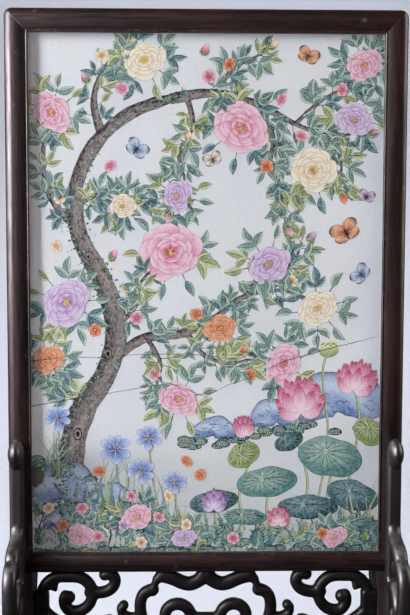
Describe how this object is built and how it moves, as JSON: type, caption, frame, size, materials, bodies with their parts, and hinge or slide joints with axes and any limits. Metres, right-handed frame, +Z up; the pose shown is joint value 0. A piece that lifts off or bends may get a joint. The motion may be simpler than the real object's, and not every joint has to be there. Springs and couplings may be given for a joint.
{
  "type": "table screen",
  "caption": "Table screen: a painted porcelain plaque in a mitred hardwood frame that lifts out of a carved stand with clasping scroll brackets and an openwork apron.",
  "frame": {"origin": "on the table, midway between the two feet", "axes": "+Z up, +X to the right of a viewer in front of the painted face, -Y towards that viewer"},
  "size_m": [0.41, 0.25, 0.714],
  "materials": {
    "frame_wood": "polished dark red hardwood",
    "post_wood": "polished dark red hardwood",
    "dark_wood": "carved, waxed, nearly black",
    "back_wood": "plain planed softwood",
    "porcelain": "white glaze with enamels",
    "brass": "dull"
  },
  "bodies": {
    "stand": {"left_post": "post_wood", "right_post": "post_wood", "left_foot": "dark_wood", "right_foot": "dark_wood", "left_front_bracket": "dark_wood", "left_rear_bracket": "dark_wood", "right_front_bracket": "dark_wood", "right_rear_bracket": "dark_wood", "openwork_apron": "dark_wood", "lower_rail": "dark_wood", "rail_pegs": "dark_wood", "foot_pegs": "dark_wood"},
    "screen": {"frame_top_rail": "frame_wood", "frame_bottom_rail": "frame_wood", "frame_left_stile": "frame_wood", "frame_right_stile": "frame_wood", "porcelain_plaque": "porcelain", "backing_plank_left": "back_wood", "backing_plank_centre": "back_wood", "backing_plank_right": "back_wood", "back_batten_upper": "back_wood", "back_batten_lower": "back_wood", "retaining_strip_top": "back_wood", "retaining_strip_bottom": "back_wood", "retaining_strip_left": "back_wood", "retaining_strip_right": "back_wood", "strip_pins": "brass", "frame_corner_pegs": "dark_wood"}
  },
  "joints": [
    {"name": "screen_lift", "type": "slide", "parent": "stand", "child": "screen", "axis": [0, 0, 1], "range_m": [0, 0.15]}
  ]
}
